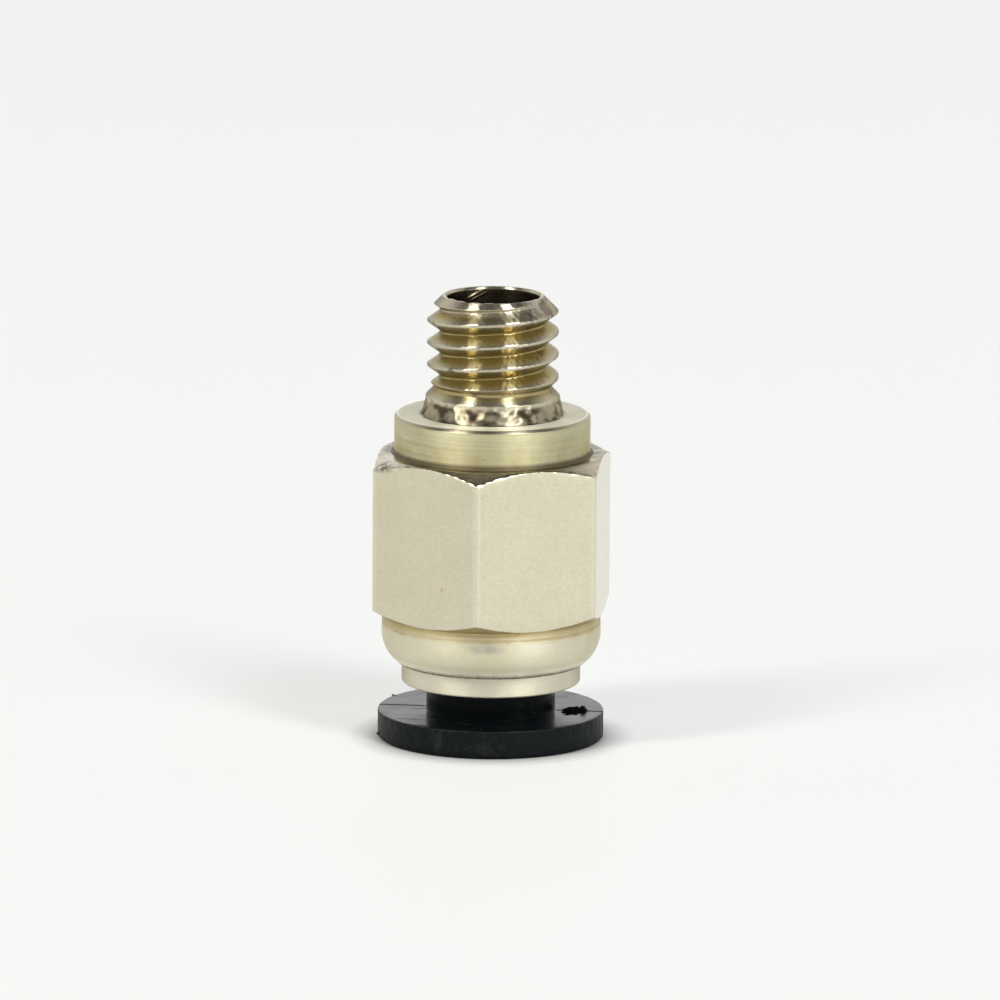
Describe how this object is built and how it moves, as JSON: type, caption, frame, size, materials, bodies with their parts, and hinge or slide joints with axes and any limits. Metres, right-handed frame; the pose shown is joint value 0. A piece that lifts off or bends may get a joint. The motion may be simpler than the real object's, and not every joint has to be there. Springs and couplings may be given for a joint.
{
  "type": "push to connect fitting",
  "caption": "Straight male push-to-connect fitting: hexagon body with a threaded stem, through bore and a push-in release collet for 4 mm tube.",
  "frame": {"origin": "centre of the release flange's outer face, on which the fitting stands", "axes": "+Z along the axis from the tube mouth to the threaded stem; +X square to a flat of the hexagon"},
  "size_m": [0.01, 0.0114, 0.0201],
  "materials": {
    "nickel_plated_brass": "satin nickel plating over turned brass",
    "black_acetal": "satin moulded",
    "natural_nylon": "matt moulded",
    "nitrile_rubber": "lightly greased",
    "stainless_steel": "stamped strip"
  },
  "bodies": {
    "body": {"body": "nickel_plated_brass", "guide_ring": "nickel_plated_brass", "seal_retainer": "natural_nylon", "tube_o_ring": "nitrile_rubber"},
    "collet": {"release_collet": "black_acetal"},
    "finger_1": {"collet_finger_1": "black_acetal", "gripping_tooth_1": "stainless_steel"},
    "finger_2": {"collet_finger_2": "black_acetal", "gripping_tooth_2": "stainless_steel"},
    "finger_3": {"collet_finger_3": "black_acetal", "gripping_tooth_3": "stainless_steel"},
    "finger_4": {"collet_finger_4": "black_acetal", "gripping_tooth_4": "stainless_steel"}
  },
  "joints": [
    {"name": "collet_slide", "type": "slide", "parent": "body", "child": "collet", "axis": [0, 0, 1], "range_m": [0, 0.0012]},
    {"name": "finger_1_flex", "type": "hinge", "parent": "collet", "child": "finger_1", "pos_m": [0.00204, 0.00204, 0.0033], "axis": [-0.7071, 0.7071, 0], "range_deg": [0, 3.6]},
    {"name": "finger_2_flex", "type": "hinge", "parent": "collet", "child": "finger_2", "pos_m": [-0.00204, 0.00204, 0.0033], "axis": [-0.7071, -0.7071, 0], "range_deg": [0, 3.6]},
    {"name": "finger_3_flex", "type": "hinge", "parent": "collet", "child": "finger_3", "pos_m": [-0.00204, -0.00204, 0.0033], "axis": [0.7071, -0.7071, 0], "range_deg": [0, 3.6]},
    {"name": "finger_4_flex", "type": "hinge", "parent": "collet", "child": "finger_4", "pos_m": [0.00204, -0.00204, 0.0033], "axis": [0.7071, 0.7071, 0], "range_deg": [0, 3.6]}
  ],
  "couplings": [
    {"joint": "finger_1_flex", "follows": "collet_slide", "rad_per_m": 50.905},
    {"joint": "finger_2_flex", "follows": "collet_slide", "rad_per_m": 50.905},
    {"joint": "finger_3_flex", "follows": "collet_slide", "rad_per_m": 50.905},
    {"joint": "finger_4_flex", "follows": "collet_slide", "rad_per_m": 50.905}
  ]
}
